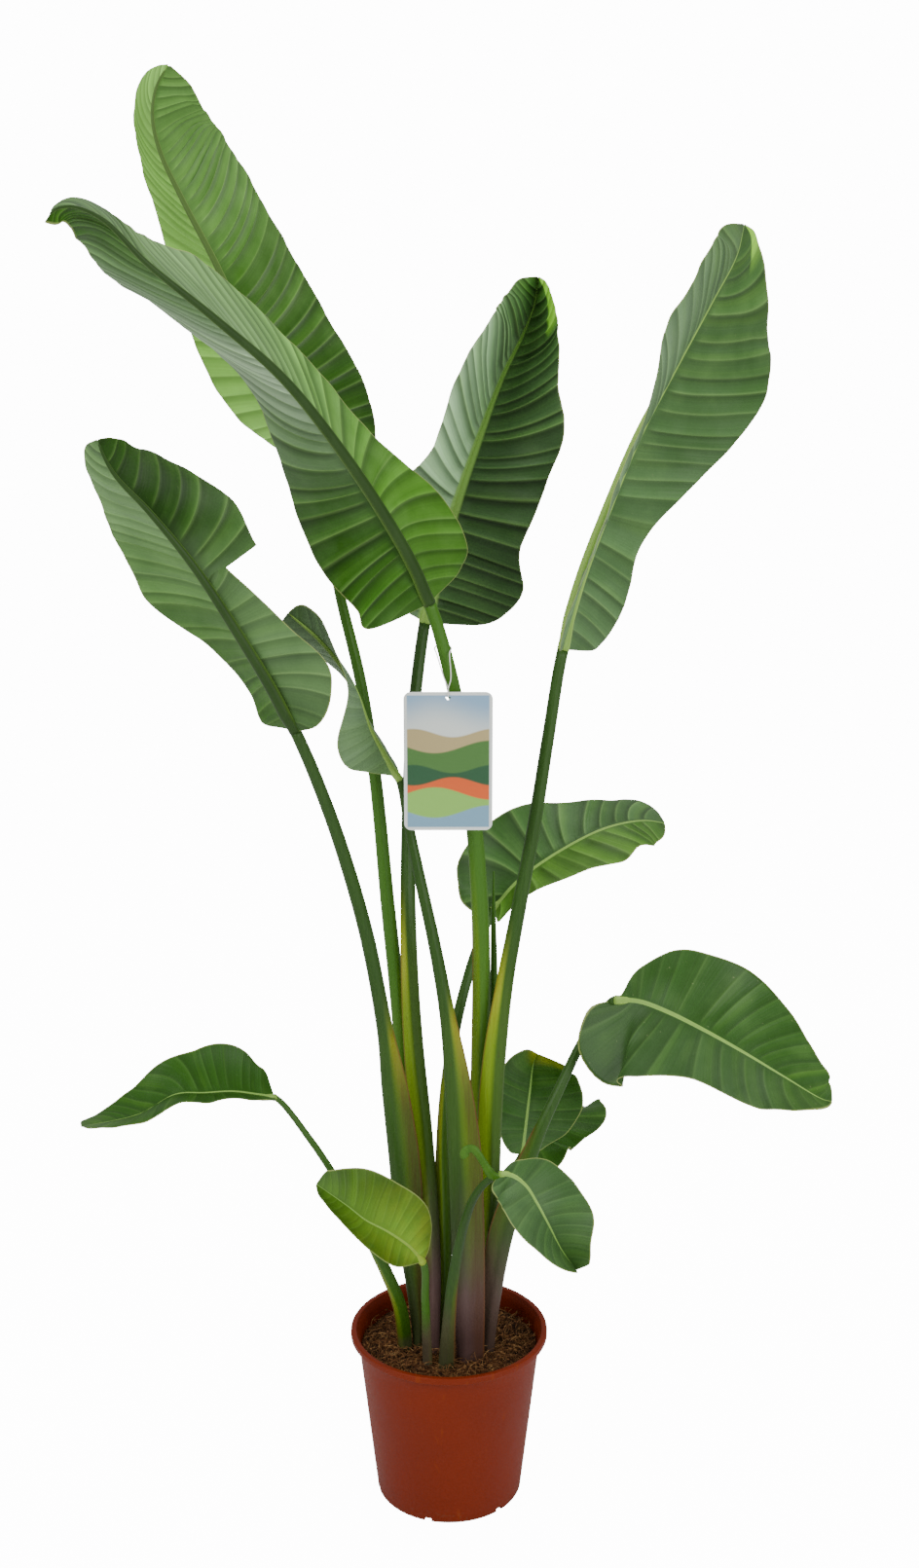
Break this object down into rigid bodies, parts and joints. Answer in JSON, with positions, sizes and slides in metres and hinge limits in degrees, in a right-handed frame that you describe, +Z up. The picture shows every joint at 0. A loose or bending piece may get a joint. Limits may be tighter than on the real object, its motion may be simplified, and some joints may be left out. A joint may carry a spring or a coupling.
{
  "type": "potted bird of paradise",
  "caption": "Tall potted plant with upright sheathing stalks and broad paddle leaves, some torn and drooping, in a tapered plastic nursery pot with a hang tag.",
  "frame": {"origin": "centre of the pot's flat underside, on the surface it stands on", "axes": "+Z up along the pot's axis and the plant's height, +Y away from the side that the tag faces, +X to the right seen from that side"},
  "size_m": [0.8398, 0.5786, 1.6845],
  "materials": {
    "pot_plastic": "satin",
    "potting_mix": "matte",
    "stalk_green": "satin",
    "blade_green": "satin",
    "blade_yellow_green": "satin",
    "spear_green": "satin",
    "tag_card": "gloss",
    "tie_plastic": "satin"
  },
  "bodies": {
    "root": {"pot": "pot_plastic", "soil": "potting_mix", "leaf_top_back_stalk": "stalk_green", "leaf_top_back_blade": "blade_green", "leaf_top_front_stalk": "stalk_green", "leaf_top_front_blade": "blade_green", "leaf_left_torn_stalk": "stalk_green", "leaf_left_torn_blade": "blade_green", "leaf_centre_back_stalk": "stalk_green", "leaf_centre_back_blade": "blade_green", "leaf_right_tall_stalk": "stalk_green", "leaf_right_tall_blade": "blade_green", "leaf_middle_right_stalk": "stalk_green", "leaf_middle_right_blade": "blade_green", "leaf_right_low_stalk": "stalk_green", "leaf_right_low_blade": "blade_green", "leaf_small_round_stalk": "stalk_green", "leaf_small_round_blade": "blade_green", "leaf_small_wavy_stalk": "stalk_green", "leaf_small_wavy_blade": "blade_green", "leaf_front_drooping_stalk": "stalk_green", "leaf_front_drooping_blade": "blade_green", "leaf_front_yellowing_stalk": "stalk_green", "leaf_front_yellowing_blade": "blade_yellow_green", "leaf_left_low_stalk": "stalk_green", "leaf_left_low_blade": "blade_green", "leaf_small_twisted_stalk": "stalk_green", "leaf_small_twisted_blade": "blade_green", "leaf_spear": "spear_green", "hang_tag": "tag_card", "tag_tie": "tie_plastic"}
  },
  "joints": []
}
